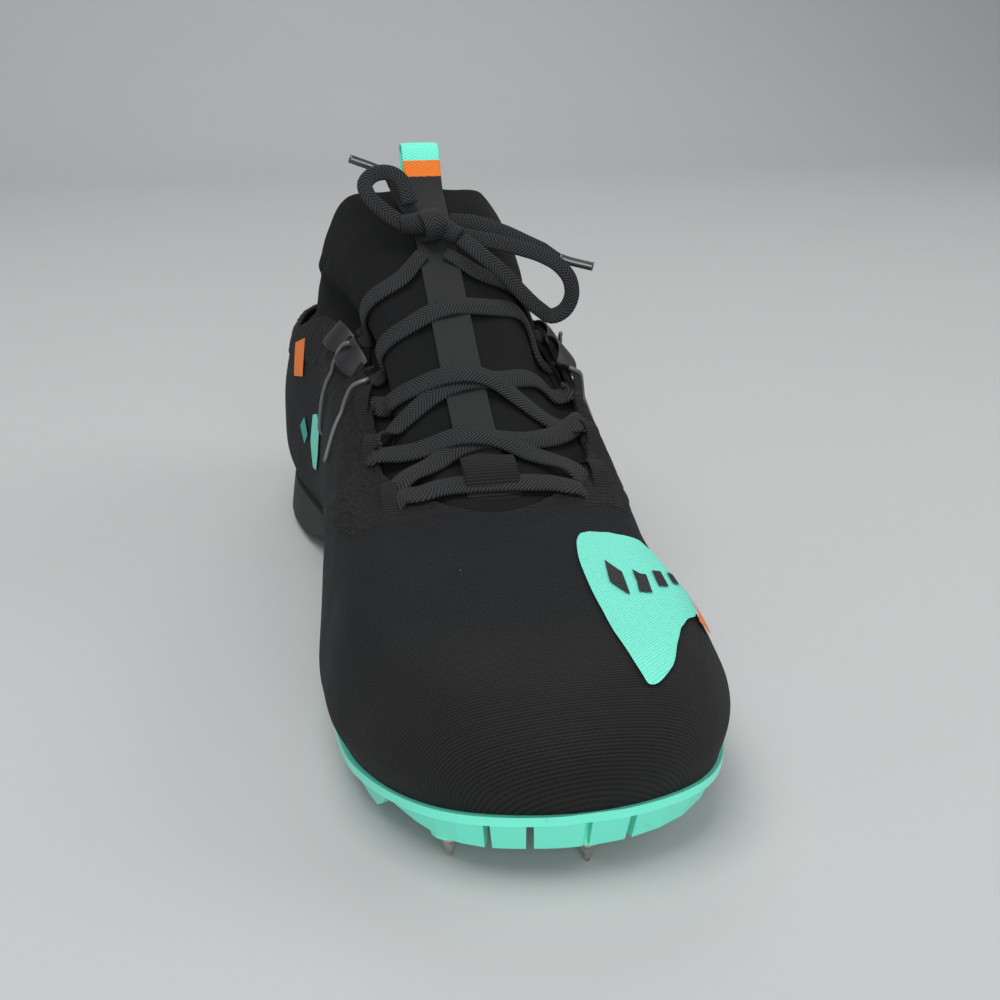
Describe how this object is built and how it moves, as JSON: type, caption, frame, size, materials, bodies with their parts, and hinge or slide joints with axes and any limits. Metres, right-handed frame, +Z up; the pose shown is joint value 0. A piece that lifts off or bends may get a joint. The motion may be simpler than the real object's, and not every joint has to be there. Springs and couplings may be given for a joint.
{
  "type": "track spike shoe",
  "caption": "Low track spike for the left foot: knitted sock collar with a pull loop, laced hollow upper, toothed sprint plate with steel pins, foam heel.",
  "frame": {"origin": "middle of the shoe's bounding box without its bow, on the floor plane", "axes": "+Z up, toe towards -Y, heel towards +Y, big toe side towards -X, outer side towards +X"},
  "size_m": [0.0892, 0.2796, 0.1265],
  "materials": {
    "aglet_plastic": "clear film over black lace, gloss",
    "foam": "black foam, matt",
    "insole_cloth": "black cloth, matt",
    "lace_weave": "flat woven black lace",
    "loop_film": "black film over webbing, satin",
    "plate_plastic": "moulded mint plastic, satin",
    "rib_knit": "black rib knit, matt",
    "rubber": "black rubber, matt",
    "steel": "turned steel",
    "upper_mesh": "woven black mesh, matt",
    "webbing": "woven black webbing, mint and orange at the pull loop"
  },
  "bodies": {
    "root": {"aglet_left": "aglet_plastic", "aglet_right": "aglet_plastic", "eye_loop_inner_1": "loop_film", "eye_loop_inner_2": "loop_film", "eye_loop_inner_3": "loop_film", "eye_loop_inner_4": "loop_film", "eye_loop_inner_5": "loop_film", "eye_loop_outer_1": "loop_film", "eye_loop_outer_2": "loop_film", "eye_loop_outer_3": "loop_film", "eye_loop_outer_4": "loop_film", "eye_loop_outer_5": "loop_film", "heel_tread": "rubber", "insole": "insole_cloth", "keeper": "webbing", "lace_end_left": "lace_weave", "lace_end_right": "lace_weave", "lace_knot": "lace_weave", "lace_loop_left": "lace_weave", "lace_loop_right": "lace_weave", "lace_rows": "lace_weave", "midsole": "foam", "pin_1": "steel", "pin_2": "steel", "pin_3": "steel", "pin_4": "steel", "pin_5": "steel", "pin_6": "steel", "pin_7": "steel", "plate": "plate_plastic", "pull_ribbon": "webbing", "sock": "rib_knit", "upper": "upper_mesh"}
  },
  "joints": []
}
